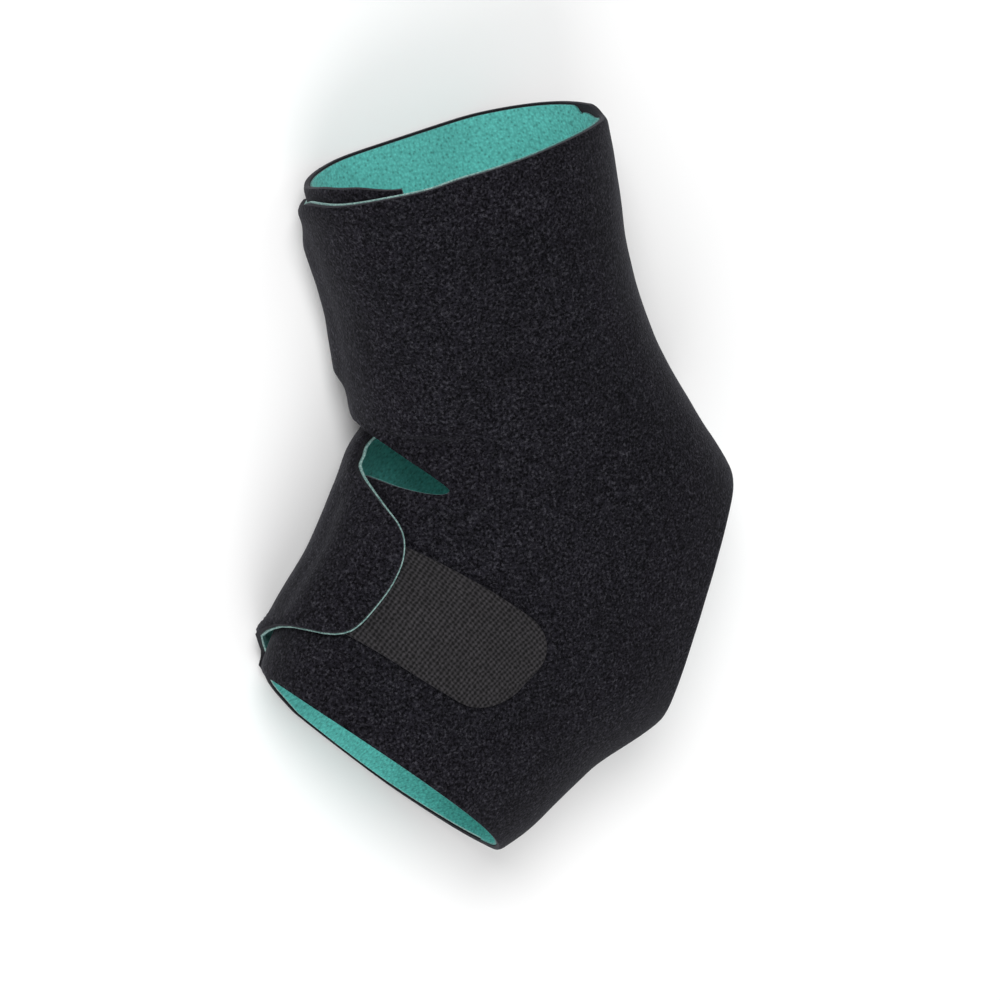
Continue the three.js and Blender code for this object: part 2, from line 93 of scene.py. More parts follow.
INSTEP_TAB = dict(width=32, corner=13, start=9.5, end=69.5, side=-1, station=0.79, slant=0.024)
LEG_TAB = dict(width=32, corner=10, start=18, end=34, side=1, station=0.2, slant=0.0)
TAB_LIFT_RUN = 9
TAB_LIFT_MARGIN = 3
SIDE_ANGLE = 90
INSTEP_TAB_SLANT_END = 150
HEM_RISE_END = 120
HEM_DROP_START = 110
HEM_DROP_END = 170
FLAP_SLANT_END = 205
NEAR_DROP_START_ANGLE = 150
NEAR_DROP_END_ANGLE = 78
BACK_CORNER_ANGLE = 20
FOOT_HEM_START_ANGLE = 50
FOOT_HEM_END_ANGLE = 215

# Places of features: lengths past the front line, negative on the near side
FLARE_NEAR_START = -12
FLARE_FAR_START = 30
FLARE_FAR_END = 14
LAP_RISE_START = 14
LAP_RISE_END = -6
NEAR_CUT_START = 2
NEAR_CUT_END = 22
FAR_CUT_START = 44
FAR_CUT_END = 22

# Places of features: stations, and shares of the slit
SLIT_STATION = 0.61
HEEL_HOLE_STATION = 0.595
LEG_HEM_END = 0.15
FOOT_HEM_START = 0.85
FLARE_START = 0.89
FLARE_END = 0.935
FLAP_RISE_START = 0.98
FLAP_RISE_END = 1.5
UNDER_DROP_START = 0.95
UNDER_DROP_END = 1.45
CROSSING_START = 0.1
CROSSING_END = 1.1

WALL = LINING_THICKNESS + BOND_GAP + SHELL_THICKNESS
LAP_LIFT = WALL + LAP_CLEARANCE
TAB_LIFT = TAB_THICKNESS + LAP_CLEARANCE
FRONT = 180
FULL_TURN = 360
MM = 0.001
UV_MM = 10

# Softness that the solids leave out, in millimetres
EDGE_PINCH = 0.6
EDGE_PINCH_RUN = 2.2
TAB_PINCH = 0.15
SHELL_ROUNDING = 0.4
KNIT_ROUNDING = 0.2
TAB_ROUNDING = 0.2
SOFT_WAVE = 0.35
SOFT_WAVE_LENGTH = 24
SMALL_WAVE = 0.12
SMALL_WAVE_LENGTH = 8
FRONT_WAVE = 0.15
FRONT_WAVE_ANGLE = 176
SCALLOP_RATE = 62
SCALLOP_DRIFT = 1.2
SCALLOP_DRIFT_RATE = 23
RIM_REVEAL = 0.2
RIM_RECESS = 0.5
BACK_RECESS = 2.2
KNIT_BOTTOM = 0.35
KNIT_TOP = 1.0
NEAR_RECESS_START_ANGLE = 26
NEAR_RECESS_END_ANGLE = 9
FAR_RECESS_START_ANGLE = 6
FAR_RECESS_END_ANGLE = 1
DRAW_IN_RUN = 4

# along, inset, heel, turn: the sections from the leg opening to the foot opening
SECTIONS = np.array([
    (-1.0, 0.0, -0.02, 0.0),
    (-0.73, 0.03, -0.03, 0.01),
    (-0.46, 0.05, -0.05, 0.08),
    (-0.24, 0.04, 0.05, 0.2),
    (-0.09, 0.04, 0.37, 0.36),
    (0.0, 0.03, 0.8, 0.54),
    (0.1, 0.03, 1.05, 0.76),
    (0.22, 0.06, 0.98, 0.98),
    (0.44, 0.075, 0.55, 1.09),
    (0.74, 0.04, 0.24, 1.1),
    (0.95, 0.045, 0.0, 1.04),
])

# station, inner layer's share, lobe's share: the far side's free edge
FAR_EDGE = np.array([
    (0.0, 1.0, 0.0),
    (0.3, 0.95, 0.0),
    (0.43, 0.6, 0.0),
    (0.54, 0.0, -0.065),
    (0.58, 0.0, -0.12),
    (0.606, 0.0, -0.04),
    (0.63, 0.0, 0.0),
    (0.646, 0.0, 0.11),
    (0.67, 0.0, 0.27),
    (0.7, 0.0, 0.52),
    (0.725, 0.0, 0.84),
    (0.755, 0.0, 0.965),
    (0.79, 0.0, 0.985),
    (0.83, 0.0, 0.95),
    (0.87, 0.0, 0.87),
    (0.89, 0.0, 0.75),
    (0.905, 0.0, 0.56),
    (0.92, 0.0, 0.19),
    (0.932, 0.0, -0.13),
    (0.946, 0.0, -0.3),
    (0.958, 0.0, -0.7),
    (0.972, 0.0, -1.0),
    (1.0, 0.0, -1.08),
])


def ramp(value, start, end):
    t = np.clip((value - start) / (end - start), 0, 1)
    return t * t * (3 - 2 * t)


def rounded_rise(share):
    left = 1 - np.clip(share, 0, 1)
    return np.sqrt(1 - left * left)


def smooth_curve(at, values, place):
    """A smooth curve through the values of a table, read at a place."""
    last = len(at) - 1
    before = np.maximum(np.arange(last + 1) - 1, 0)
    after = np.minimum(np.arange(last + 1) + 1, last)
    slopes = (values[after] - values[before]) / (at[after] - at[before])
    row = np.clip(np.searchsorted(at, place) - 1, 0, last - 1)
    span = at[row + 1] - at[row]
    t = (place - at[row]) / span
    t2 = t * t
    t3 = t2 * t
    return (
        values[row] * (2 * t3 - 3 * t2 + 1)
        + values[row + 1] * (3 * t2 - 2 * t3)
        + slopes[row] * span * (t3 - 2 * t2 + t)
        + slopes[row + 1] * span * (t3 - t2)
    )


def place_sections():
    """The front and back points and the width of each section."""
    along, inset, heel, turn = SECTIONS.T
    on_leg = along < 0
    depth = np.where(on_leg, LEG_DEPTH, FOOT_DEPTH)
    width = np.where(on_leg, LEG_WIDTH, FOOT_WIDTH)
    turned = np.radians(FOOT_TURN) * turn
    backward = np.stack([np.cos(turned), -np.sin(turned)])
    instep = math.radians(INSTEP_TURN)
    down_foot = np.array([[-math.sin(instep)], [-math.cos(instep)]]) * along * FOOT_LENGTH
    up_leg = np.array([[0.0], [-1.0]]) * along * LEG_LENGTH
    front = np.where(on_leg, up_leg, down_foot)
    back = front + backward * (depth + (HEEL_DEPTH - depth) * heel)
    front = front + backward * inset * depth
    return front[0], front[1], back[0], back[1], width + (HEEL_WIDTH - width) * np.clip(heel, 0, 1)


PLACED = place_sections()
SECTION_STATIONS = np.linspace(0, 1, len(SECTIONS))


def powered(value):
    return np.sign(value) * np.abs(value) ** (2 / OVAL_POWER)


def inner_face(station, angle):
    """The lining's inner face, pressed flat where the far side lies on the surface."""
    station, angle = np.broadcast_arrays(np.asarray(station, float), np.radians(np.asarray(angle, float)))
    front_x, front_y, back_x, back_y, width = (
        smooth_curve(SECTION_STATIONS, values, station) for values in PLACED
    )
    across = powered(np.cos(angle))
    height = width / 2 * powered(np.sin(angle)) + LEG_WIDTH / 2 - FLATTENED
    pressed = np.where(height < -FLAT_BLEND, 0, (height + FLAT_BLEND) ** 2 / (4 * FLAT_BLEND))
    height = np.where(height < FLAT_BLEND, pressed, height)
    x = (front_x + back_x) / 2 + (back_x - front_x) / 2 * across
    y = (front_y + back_y) / 2 + (back_y - front_y) / 2 * across
    return np.stack([x, y, height + WALL], -1)


PROBE = 0.001


def along_station(station, angle):
    return (inner_face(station + PROBE, angle) - inner_face(station - PROBE, angle)) / (2 * PROBE)


def outward(station, angle):
    round_it = inner_face(station, angle + PROBE) - inner_face(station, angle - PROBE)
    normal = np.cross(round_it, along_station(station, angle))
    return normal / np.linalg.norm(normal, axis=-1, keepdims=True)


def stations_for(station, angle, length):
    return length / np.linalg.norm(along_station(station, angle), axis=-1)


# Lengths over the sheet: round it, past the front line, and along it, from the leg opening
GRID_STATIONS = np.linspace(-0.05, 1.05, 221)
GRID_ANGLES = np.arange(-60, 421)
_faces = inner_face(GRID_STATIONS[:, None], GRID_ANGLES[None, :])
ROUND = np.cumsum(np.linalg.norm(np.diff(_faces, axis=1, prepend=_faces[:, :1]), axis=2), axis=1)
ROUND -= ROUND[:, [FRONT - GRID_ANGLES[0]]]
ALONG = np.cumsum(np.linalg.norm(np.diff(_faces, axis=0, prepend=_faces[:1]), axis=2), axis=0)


def read_grid(grid, station, angle):
    station, angle = np.broadcast_arrays(np.asarray(station, float), np.asarray(angle, float))
    row = (station - GRID_STATIONS[0]) / (GRID_STATIONS[1] - GRID_STATIONS[0])
    column = angle - GRID_ANGLES[0]
    i = np.clip(np.floor(row).astype(int), 0, len(GRID_STATIONS) - 2)
    j = np.clip(np.floor(column).astype(int), 0, len(GRID_ANGLES) - 2)
    u, v = row - i, column - j
    low = grid[i, j] * (1 - v) + grid[i, j + 1] * v
    high = grid[i + 1, j] * (1 - v) + grid[i + 1, j + 1] * v
    return low * (1 - u) + high * u


def past_front(station, angle):
    return read_grid(ROUND, station, angle)


def angle_past_front(station, length):
    """The angle at a length past the front line, at one station."""
    return np.interp(length, past_front(station, GRID_ANGLES), GRID_ANGLES)


def far_reach(station):
    at, inner, lobe = FAR_EDGE.T
    return INNER_LAP * smooth_curve(at, inner, station) + LOBE_REACH * smooth_curve(at, lobe, station)


def far_edge_slant(station):
    run = far_reach(station + PROBE) - far_reach(station - PROBE)
    return math.hypot(1, run / (np.linalg.norm(along_station(station, FRONT)) * 2 * PROBE))


SLIT_END = float(angle_past_front(SLIT_STATION, -SLIT_REACH))


def slit_edges(angle):
    share = np.maximum(angle - SLIT_END, 0) / (FRONT - SLIT_END)
    run = share * SLIT_REACH
    upper = SLIT_UPPER_DEPTH * rounded_rise(run / SLIT_UPPER_RUN) + SLIT_FLARE * share
    upper = upper + LEG_FLAP_RISE * ramp(share, FLAP_RISE_START, FLAP_RISE_END)
    lower = SLIT_LOWER_DEPTH * rounded_rise(run / SLIT_LOWER_RUN)
    lower = lower + UNDER_LAP_DROP * ramp(share, UNDER_DROP_START, UNDER_DROP_END)
    return (
        SLIT_STATION - stations_for(SLIT_STATION, angle, upper),
        SLIT_STATION + stations_for(SLIT_STATION, angle, lower),
    )


HOLE_HALF_SPAN = float(stations_for(HEEL_HOLE_STATION, 0, HEEL_HOLE_HEIGHT / 2))
HOLE_TOP = HEEL_HOLE_STATION - HOLE_HALF_SPAN
HOLE_BOTTOM = HEEL_HOLE_STATION + HOLE_HALF_SPAN


def hole_half_width(station):
    share = (station - HEEL_HOLE_STATION) / HOLE_HALF_SPAN
    half = HEEL_HOLE_WIDTH / 2 * math.sqrt(max(1 - share * share, 0))
    return 0.0 if half < 1 else half


def tab_middle(tab, angle):
    share = (angle - SIDE_ANGLE) / (INSTEP_TAB_SLANT_END - SIDE_ANGLE)
    return tab["station"] + tab["slant"] * np.clip(share, 0, 1)


def over_tab(tab, station, angle, past):
    """How far a flap stands off a tab that lies under it."""
    middle = tab_middle(tab, angle)
    beside = np.abs(station - middle) / stations_for(middle, angle, 1) - tab["width"] / 2
    across = ramp(beside, TAB_LIFT_MARGIN + TAB_LIFT_RUN, TAB_LIFT_MARGIN)
    before = tab["start"] - TAB_LIFT_MARGIN
    return TAB_LIFT * across * ramp(tab["side"] * past, before - TAB_LIFT_RUN, before)


def near_lift(station, angle):
    past = past_front(station, angle)
    edge = -np.maximum(far_reach(station), 0) - LIFT_MARGIN
    return LAP_LIFT * ramp(past, edge - LIFT_RUN, edge) + over_tab(LEG_TAB, station, angle, past)


def far_lift(station, angle):
    past = past_front(station, angle)
    full = UNDER_LAP + LIFT_MARGIN
    upper, lower = slit_edges(angle)
    crossed = ramp((station - upper) / (lower - upper), CROSSING_START, CROSSING_END)
    flared = FRONT_FLARE * ramp(station, FLARE_START, FLARE_END)
    flared = flared * ramp(past, FLARE_NEAR_START, 0) * ramp(past, FLARE_FAR_START, FLARE_FAR_END)
    lapped = LAP_LIFT * ramp(past, full + FAR_LIFT_RUN, full) * crossed
    return lapped + flared + over_tab(INSTEP_TAB, station, angle, past)


# Rows and columns, closer together beside the edges
EDGE_STEPS = np.array([0.0, 0.35, 0.8, 1.4, 2.2, 3.2])
STATION_LENGTH = 185


def rows_between(start, end, step, fine_start, fine_end):
    """Rows about a step apart, with fine ones beside an edge."""
    fine = EDGE_STEPS / STATION_LENGTH
    head = start + fine if fine_start else np.array([start])
    tail = end - fine[::-1] if fine_end else np.array([end])
    count = max(int(round((tail[0] - head[-1]) * STATION_LENGTH / step)), 1)
    return [*head[:-1], *np.linspace(head[-1], tail[0], count + 1), *tail[1:]]


def oval_rows(middle, end, count):
    """Rows that crowd at one end of the heel hole."""
    return [middle + (end - middle) * math.cos(t * math.pi / 2) for t in np.linspace(0, 1, count + 1)]


def lengths_between(start, end, count, fine_start, fine_end):
    """Places round one row, evenly apart, with fine ones beside an edge."""
    head = start + EDGE_STEPS * np.sign(end - start) if fine_start else np.array([start])
    tail = end - EDGE_STEPS[::-1] * np.sign(end - start) if fine_end else np.array([end])
    return [*head[:-1], *np.linspace(head[-1], tail[0], count + 1), *tail[1:]]


CELL = 1.6
HOLE_ROWS = 20
FINE = EDGE_STEPS[-1] / STATION_LENGTH
UPPER_ROWS = [
    *rows_between(0, HOLE_TOP, CELL, True, False)[:-1],
    *oval_rows(SLIT_STATION - FINE, HOLE_TOP, HOLE_ROWS)[:-1],
    *rows_between(SLIT_STATION - FINE, SLIT_STATION, CELL, False, True),
]
LOWER_ROWS = [
    *rows_between(SLIT_STATION, SLIT_STATION + FINE, CELL, True, False)[:-1],
    *oval_rows(SLIT_STATION + FINE, HOLE_BOTTOM, HOLE_ROWS)[:0:-1],
    *rows_between(HOLE_BOTTOM, 1, CELL, False, True),
]
FAR_ROWS = [*UPPER_ROWS, *LOWER_ROWS[1:]]
SIDE_COLUMNS = 52
SLIT_COLUMNS = 28
FAR_COLUMNS = 90
TAB_ROWS = 41
TAB_COLUMNS = 49


def near_row(row, end_length):
    """The angles of one near row, from the back line or the heel hole to the free edge."""
    start = past_front(row, 0) + hole_half_width(row)
    slit_end = past_front(row, SLIT_END)
    lengths = [
        *lengths_between(start, slit_end, SIDE_COLUMNS, True, False)[:-1],
        *lengths_between(slit_end, end_length, SLIT_COLUMNS, True, True),
    ]
    return angle_past_front(row, np.array(lengths))


def near_hem(angle):
    rise = LEG_HEM_RISE * np.sin(np.pi * np.clip(angle / HEM_RISE_END, 0, 1))
    drop = LEG_FLAP_DROP * ramp(angle, HEM_DROP_START, HEM_DROP_END)
    slant = LEG_FLAP_SLANT * ramp(angle, FRONT, FLAP_SLANT_END)
    back_drop = BACK_HEM_DROP * ramp(angle, NEAR_DROP_START_ANGLE, NEAR_DROP_END_ANGLE)
    back_drop = back_drop * ramp(angle, 0, BACK_CORNER_ANGLE)
    return stations_for(0, angle, drop + slant + back_drop - rise)


def inward(stations, length, from_start):
    """Rows beside an opening draw in by a length, and the rows further in stay."""
    away = stations if from_start else 1 - stations
    share = ramp(away * STATION_LENGTH, DRAW_IN_RUN, 0) / STATION_LENGTH * length
    return stations + share if from_start else stations - share


def near_upper(knit):
    stations, angles = [], []
    for row in UPPER_ROWS:
        share = row / SLIT_STATION
        corner = min(max(1 - (1 - share) * LEG_LENGTH / LEG_FLAP_CORNER, 0), 1)
        lap = LEG_FLAP_LAP - LEG_FLAP_CORNER * (1 - math.sqrt(1 - corner * corner))
        angle = near_row(row, lap)
        station = near_hem(angle) * (1 - share) + slit_edges(angle)[0] * share
        if knit:
            recess = BACK_RECESS * ramp(angle, NEAR_RECESS_START_ANGLE, NEAR_RECESS_END_ANGLE)
            station = inward(station, recess, True)
            angle[-1] = angle_past_front(row, lap + RIM_REVEAL)
            if row == 0:
                station = station - stations_for(0, angle, RIM_REVEAL * ramp(angle, 40, 110))
        stations.append(station)
        angles.append(angle)
    stations, angles = np.array(stations), np.array(angles)
    return stations, angles, near_lift(stations, angles)


def near_lower(knit):
    stations, angles = [], []
    for row in LOWER_ROWS:
        share = (row - SLIT_STATION) / (1 - SLIT_STATION)
        angle = near_row(row, UNDER_LAP)
        wave = FOOT_HEM_WAVE * np.sin(np.radians(2 * (angle - FOOT_HEM_TURN)))
        wave = wave * ramp(angle, 0, FOOT_HEM_START_ANGLE) * ramp(angle, FOOT_HEM_END_ANGLE, FRONT)
        cut = NEAR_FOOT_CUT * ramp(past_front(1, angle), NEAR_CUT_START, NEAR_CUT_END)
        belly = NEAR_FOOT_HEM_DROP * np.sin(np.radians(np.clip(angle, 0, FRONT)))
        foot_hem = 1 - stations_for(1, angle, wave + cut - belly)
        station = slit_edges(angle)[1] * (1 - share) + foot_hem * share
        if knit:
            station = inward(station, RIM_REVEAL * ramp(angle, 0, 12), False)
        stations.append(station)
        angles.append(angle)
    stations, angles = np.array(stations), np.array(angles)
    return stations, angles, np.zeros_like(stations)


def far_side(knit):
    stations, angles = [], []
    for row in FAR_ROWS:
        reach = -float(far_reach(row))
        end = past_front(row, FULL_TURN) - hole_half_width(row)
        angle = angle_past_front(row, np.array(lengths_between(reach, end, FAR_COLUMNS, True, True)))
        from_back = FULL_TURN - angle
        belly = np.sin(np.radians(np.clip(from_back, 0, FRONT)))
        past = past_front(row, angle)
        lap_rise = FAR_LAP_HEM_RISE * ramp(past, LAP_RISE_START, LAP_RISE_END)
        lap_rise = lap_rise * ramp(past, -INNER_LAP, -INNER_LAP / 2)
        rise = stations_for(0, angle, FAR_LEG_HEM_RISE * belly + lap_rise) * ramp(row, LEG_HEM_END, 0)
        drop = FAR_FOOT_HEM_DROP * belly * belly - FAR_FOOT_CUT * ramp(past, FAR_CUT_START, FAR_CUT_END)
        station = row - rise + stations_for(1, angle, drop) * ramp(row, FOOT_HEM_START, 1)
        if knit:
            reveal = RIM_REVEAL * ramp(row, 0.48, 0.53) * far_edge_slant(row)
            angle[0] = angle_past_front(row, reach - reveal)
            recess = BACK_RECESS * ramp(from_back, FAR_RECESS_START_ANGLE, FAR_RECESS_END_ANGLE)
            station = inward(inward(station, RIM_RECESS + recess, True), RIM_RECESS, False)
        stations.append(station)
        angles.append(angle)
    stations, angles = np.array(stations), np.array(angles)
    return stations, angles, far_lift(stations, angles)


def tab_patch(tab):
    """A hook tab with rounded corners at its free end."""
    middle = float(tab_middle(tab, angle_past_front(tab["station"], tab["side"] * tab["start"])))
    stations, angles, grid = [], [], []
    for across in np.sin(np.linspace(-0.5, 0.5, TAB_ROWS) * np.pi):
        corner = min(max(((abs(across) - 1) * tab["width"] / 2 + tab["corner"]) / tab["corner"], 0), 1)
        end = tab["end"] - tab["corner"] * (1 - math.sqrt(1 - corner * corner))
        angle = np.sort(angle_past_front(middle, tab["side"] * np.linspace(tab["start"], end, TAB_COLUMNS)))
        centre = tab_middle(tab, angle)
        stations.append(centre + across * stations_for(centre, angle, tab["width"] / 2))
        angles.append(angle)
        aside = np.full_like(angle, across * tab["width"] / 2)
        grid.append(np.stack([past_front(middle, angle), aside], -1))
    stations, angles = np.array(stations), np.array(angles)
    return stations, angles, np.full_like(stations, WALL + LAP_CLEARANCE), np.array(grid)


def soft_wave(points):
    """Slight unevenness that all the layers at one place share, and that dies out on the surface below."""
    wave = [
        SOFT_WAVE * noise.noise(Vector(p) / SOFT_WAVE_LENGTH)
        + SMALL_WAVE * noise.noise(Vector(p) / SMALL_WAVE_LENGTH + Vector((7, 3, 5)))
        for p in points
    ]
    return np.array(wave) * ramp(points[:, 2] - WALL, 1.0, 14.0)


def front_wave(stations, angles):
    """The leg flap's stretch beside the front line is a little scalloped."""
    beside = ramp(np.abs(angles - FRONT_WAVE_ANGLE), 42, 12)
    beside = beside * ramp(stations, 0.46, 0.36) * ramp(stations, 0.0, 0.04)
    drift = SCALLOP_DRIFT * np.sin(stations * SCALLOP_DRIFT_RATE)
    return FRONT_WAVE * beside * np.sin(stations * SCALLOP_RATE + drift)


# The place of the brace, 0.4 mm off the solids' own shift of (-30.090, 31.352, 0)
PLACE = np.array([-29.748, 31.18, 0.0])
FAR_AWAY = 99.0
RIM_SAMPLE_STEP = 0.3
UPPER_SIDE, LOWER_SIDE, CUT_EDGE = 0, 1, 2


def join_patches(patches):
    """The places, faces and map corners of patches of the chart, joined where they meet.

    A patch is named near or far, with its stations, angles and lifts, and a map of its own if it has one.
    """
    known, places, faces, corners = {}, [], [], []
    for side, (stations, angles, lifts, *own_map) in patches:
        sides = angles - (FULL_TURN if side == "far" else 0)
        sheet_map = np.stack([past_front(stations, angles), read_grid(ALONG, stations, angles)], -1)
        grid = (own_map[0] if own_map else sheet_map) / UV_MM
        index = np.empty(stations.shape, int)
        for i in range(stations.shape[0]):
            for j in range(stations.shape[1]):
                key = (round(float(stations[i, j]), 6) + 0.0, round(float(sides[i, j]), 4) + 0.0)
                if key not in known:
                    known[key] = len(places)
                    places.append((stations[i, j], angles[i, j], lifts[i, j], side == "far"))
                index[i, j] = known[key]
        for i in range(stations.shape[0] - 1):
            for j in range(stations.shape[1] - 1):
                face, seen = [], []
                for place in ((i, j), (i, j + 1), (i + 1, j + 1), (i + 1, j)):
                    if index[place] not in face:
                        face.append(int(index[place]))
                        seen.append(tuple(grid[place]))
                if len(face) > 2:
                    faces.append(face)
                    corners.append(seen)
    return places, faces, corners


def open_edges(faces):
    """The edges with a face on one side only, each with that face's number."""
    rim = {}
    for number, face in enumerate(faces):
        for a, b in zip(face, face[1:] + face[:1]):
            if rim.pop((b, a), None) is None:
                rim[(a, b)] = number
    return rim


def distance_to_rim(rim, ground, far):
    """How far each point lies from the free edges of its own side."""
    distance = np.full(len(ground), FAR_AWAY)
    for side in (0, 1):
        samples = []
        for a, b in rim:
            if far[a] == side or far[b] == side:
                run = np.linalg.norm(ground[b] - ground[a])
                for t in np.linspace(0, 1, max(int(run / RIM_SAMPLE_STEP), 1) + 1):
                    samples.append(ground[a] * (1 - t) + ground[b] * t)
        tree = KDTree(len(samples))
        for i, sample in enumerate(samples):
            tree.insert(sample, i)
        tree.balance()
        for i in np.flatnonzero(far == side):
            distance[i] = tree.find(ground[i])[2]
    return distance


def closed_faces(faces, corners, rim, count):
    """The faces of the upper side, the lower side and the cut edge, with their map corners and kinds."""
    everything = faces + [[v + count for v in reversed(face)] for face in faces]
    uvs = corners + [list(reversed(seen)) for seen in corners]
    kinds = [UPPER_SIDE] * len(faces) + [LOWER_SIDE] * len(faces) + [CUT_EDGE] * len(rim)
    for (a, b), number in rim.items():
        seen = dict(zip(faces[number], corners[number]))
        everything.append([b, a, a + count, b + count])
        uvs.append([seen[b], seen[a], seen[a], seen[b]])
    return everything, uvs, kinds


def cloth_mesh(name, patches, bottom, top, pinch):
    """One closed sheet laid on the chart, from its bottom to its top above the lining's inner face."""
    places, faces, corners = join_patches(patches)
    stations, angles, lifts, far = (np.array(column) for column in zip(*places))
    rim = open_edges(faces)
    ground = inner_face(stations, angles)
    normals = outward(stations, angles)
    lifts = lifts + soft_wave(ground) + front_wave(stations, angles)
    near_edge = (1 - np.clip(distance_to_rim(rim, ground, far) / EDGE_PINCH_RUN, 0, 1)) ** 2
    upper = ground + normals * (lifts + top - pinch * near_edge)[:, None]
    lower = ground + normals * (lifts + bottom)[:, None]
    points = (np.concatenate([upper, lower]) + PLACE) * MM
    points[:, 2] = np.maximum(points[:, 2], 0)

    everything, uvs, kinds = closed_faces(faces, corners, rim, len(places))
    mesh = bpy.data.meshes.new(name)
    mesh.from_pydata(points.tolist(), [], everything)
    layer = mesh.uv_layers.new(name="cloth")
    layer.data.foreach_set("uv", np.array([uv for face in uvs for uv in face]).ravel())
    mesh.polygons.foreach_set("material_index", kinds)
    # The laminate shows pale along the instep flap's edge and the leg flap's hem
    pale_near = ramp(stations, 0.05, 0.03) * ramp(angles, 60, 125)
    pale = np.where(far, ramp(stations, 0.47, 0.52), pale_near)
    edge = mesh.attributes.new("pale", "FLOAT", "POINT")
    edge.data.foreach_set("value", np.concatenate([pale, pale]))
    mesh.validate()
    piece = bpy.data.objects.new(name, mesh)
    bpy.context.scene.collection.objects.link(piece)
    return piece


def select_only(piece):
    bpy.ops.object.select_all(action="DESELECT")
    piece.select_set(True)
    bpy.context.view_layer.objects.active = piece


def dress(piece, materials, rounding):
    """Gives a sheet the materials of its upper side, lower side and cut edge, and rounds the cut edge."""
    for material in materials:
        piece.data.materials.append(material)
    select_only(piece)
    bevel = piece.modifiers.new("rounded cut", "BEVEL")
    bevel.width = rounding * MM
    bevel.segments = 2
    bevel.limit_method = "ANGLE"
    bevel.angle_limit = math.radians(50)
    bpy.ops.object.modifier_apply(modifier=bevel.name)
    bpy.ops.object.shade_smooth()
    piece.data.update()


# Materials
class Recipe:
    """A material's nodes, wired by name."""

    def __init__(self, name):
        self.material = bpy.data.materials.new(name)
        self.material.use_nodes = True
        self.nodes = self.material.node_tree.nodes
        self.links = self.material.node_tree.links
        self.cloth = self.nodes["Principled BSDF"]
        self.places = self.nodes.new("ShaderNodeTexCoord")
        self.map = self.nodes.new("ShaderNodeUVMap")
        self.map.uv_map = "cloth"

    def wire(self, start, end):
        self.links.new(start, end)

    def noise(self, scale, detail, roughness=0.5, output="Fac"):
        node = self.nodes.new("ShaderNodeTexNoise")
        node.inputs["Scale"].default_value = scale
        node.inputs["Detail"].default_value = detail
        node.inputs["Roughness"].default_value = roughness
        self.wire(self.places.outputs["Object"], node.inputs["Vector"])
        return node.outputs[output]

    def stretch(self, value, low, high, to_low=0.0, to_high=1.0):
        node = self.nodes.new("ShaderNodeMapRange")
        node.inputs["From Min"].default_value = low
        node.inputs["From Max"].default_value = high
        node.inputs["To Min"].default_value = to_low
        node.inputs["To Max"].default_value = to_high
        self.wire(value, node.inputs["Value"])
        return node.outputs["Result"]

    def math(self, operation, first, second):
        node = self.nodes.new("ShaderNodeMath")
        node.operation = operation
        for socket, value in zip(node.inputs, (first, second)):
            if isinstance(value, (int, float)):
                socket.default_value = value
            else:
                self.wire(value, socket)
        return node.outputs["Value"]

    def mix(self, share, first, second, blend="MIX"):
        node = self.nodes.new("ShaderNodeMix")
        node.data_type = "RGBA"
        node.blend_type = blend
        for socket, value in ((node.inputs[0], share), (node.inputs[6], first), (node.inputs[7], second)):
            if isinstance(value, (int, float)):
                socket.default_value = value
            elif isinstance(value, tuple):
                socket.default_value = (*value, 1)
            else:
                self.wire(value, socket)
        return node.outputs[2]

    def bump(self, height, distance, strength):
        node = self.nodes.new("ShaderNodeBump")
        node.inputs["Distance"].default_value = distance * MM
        node.inputs["Strength"].default_value = strength
        self.wire(height, node.inputs["Height"])
        return node.outputs["Normal"]

    def finish(self, color, normal, roughness, specular, sheen, sheen_roughness, tint):
        self.wire(color, self.cloth.inputs["Base Color"])
        self.wire(normal, self.cloth.inputs["Normal"])
        self.cloth.inputs["Roughness"].default_value = roughness
        self.cloth.inputs["Specular IOR Level"].default_value = specular
        self.cloth.inputs["Sheen Weight"].default_value = sheen
        self.cloth.inputs["Sheen Roughness"].default_value = sheen_roughness
        self.cloth.inputs["Sheen Tint"].default_value = (*tint, 1)
        return self.material


def black_plush():
    """Brushed loops: dark, with lighter loop tips, soft blotches and a velvet edge."""
    r = Recipe("black_plush")
    loops = r.noise(1250, 2, 0.6)
    tips = r.stretch(r.noise(1120, 3, 0.65), 0.52, 0.76)
    blotches = r.stretch(r.noise(300, 3, 0.55), 0.3, 0.7, 0.78, 1.22)
    patches = r.stretch(r.noise(48, 2, 0.5), 0.3, 0.7, 0.88, 1.12)
    base = r.mix(r.stretch(loops, 0.38, 0.66), (0.0004, 0.0003, 0.0009), (0.0116, 0.0109, 0.0150))
    color = r.mix(r.math("MULTIPLY", tips, 0.8), base, (0.050, 0.049, 0.058))
    color = r.mix(1.0, color, r.math("MULTIPLY", blotches, patches), "MULTIPLY")
    height = r.math("ADD", loops, r.math("MULTIPLY", blotches, 0.5))
    return r.finish(color, r.bump(height, 0.5, 0.6), 0.95, 0.08, 0.07, 0.4, (0.75, 0.76, 0.86))


def foam_cut():
    """The foam's cut edge, dark and dull."""
    r = Recipe("black_foam_cut")
    cells = r.noise(2600, 2, 0.6)
    color = r.mix(r.stretch(cells, 0.35, 0.7), (0.004, 0.004, 0.005), (0.018, 0.017, 0.020))
    return r.finish(color, r.bump(cells, 0.25, 0.6), 0.95, 0.1, 0.1, 0.5, (0.7, 0.7, 0.8))


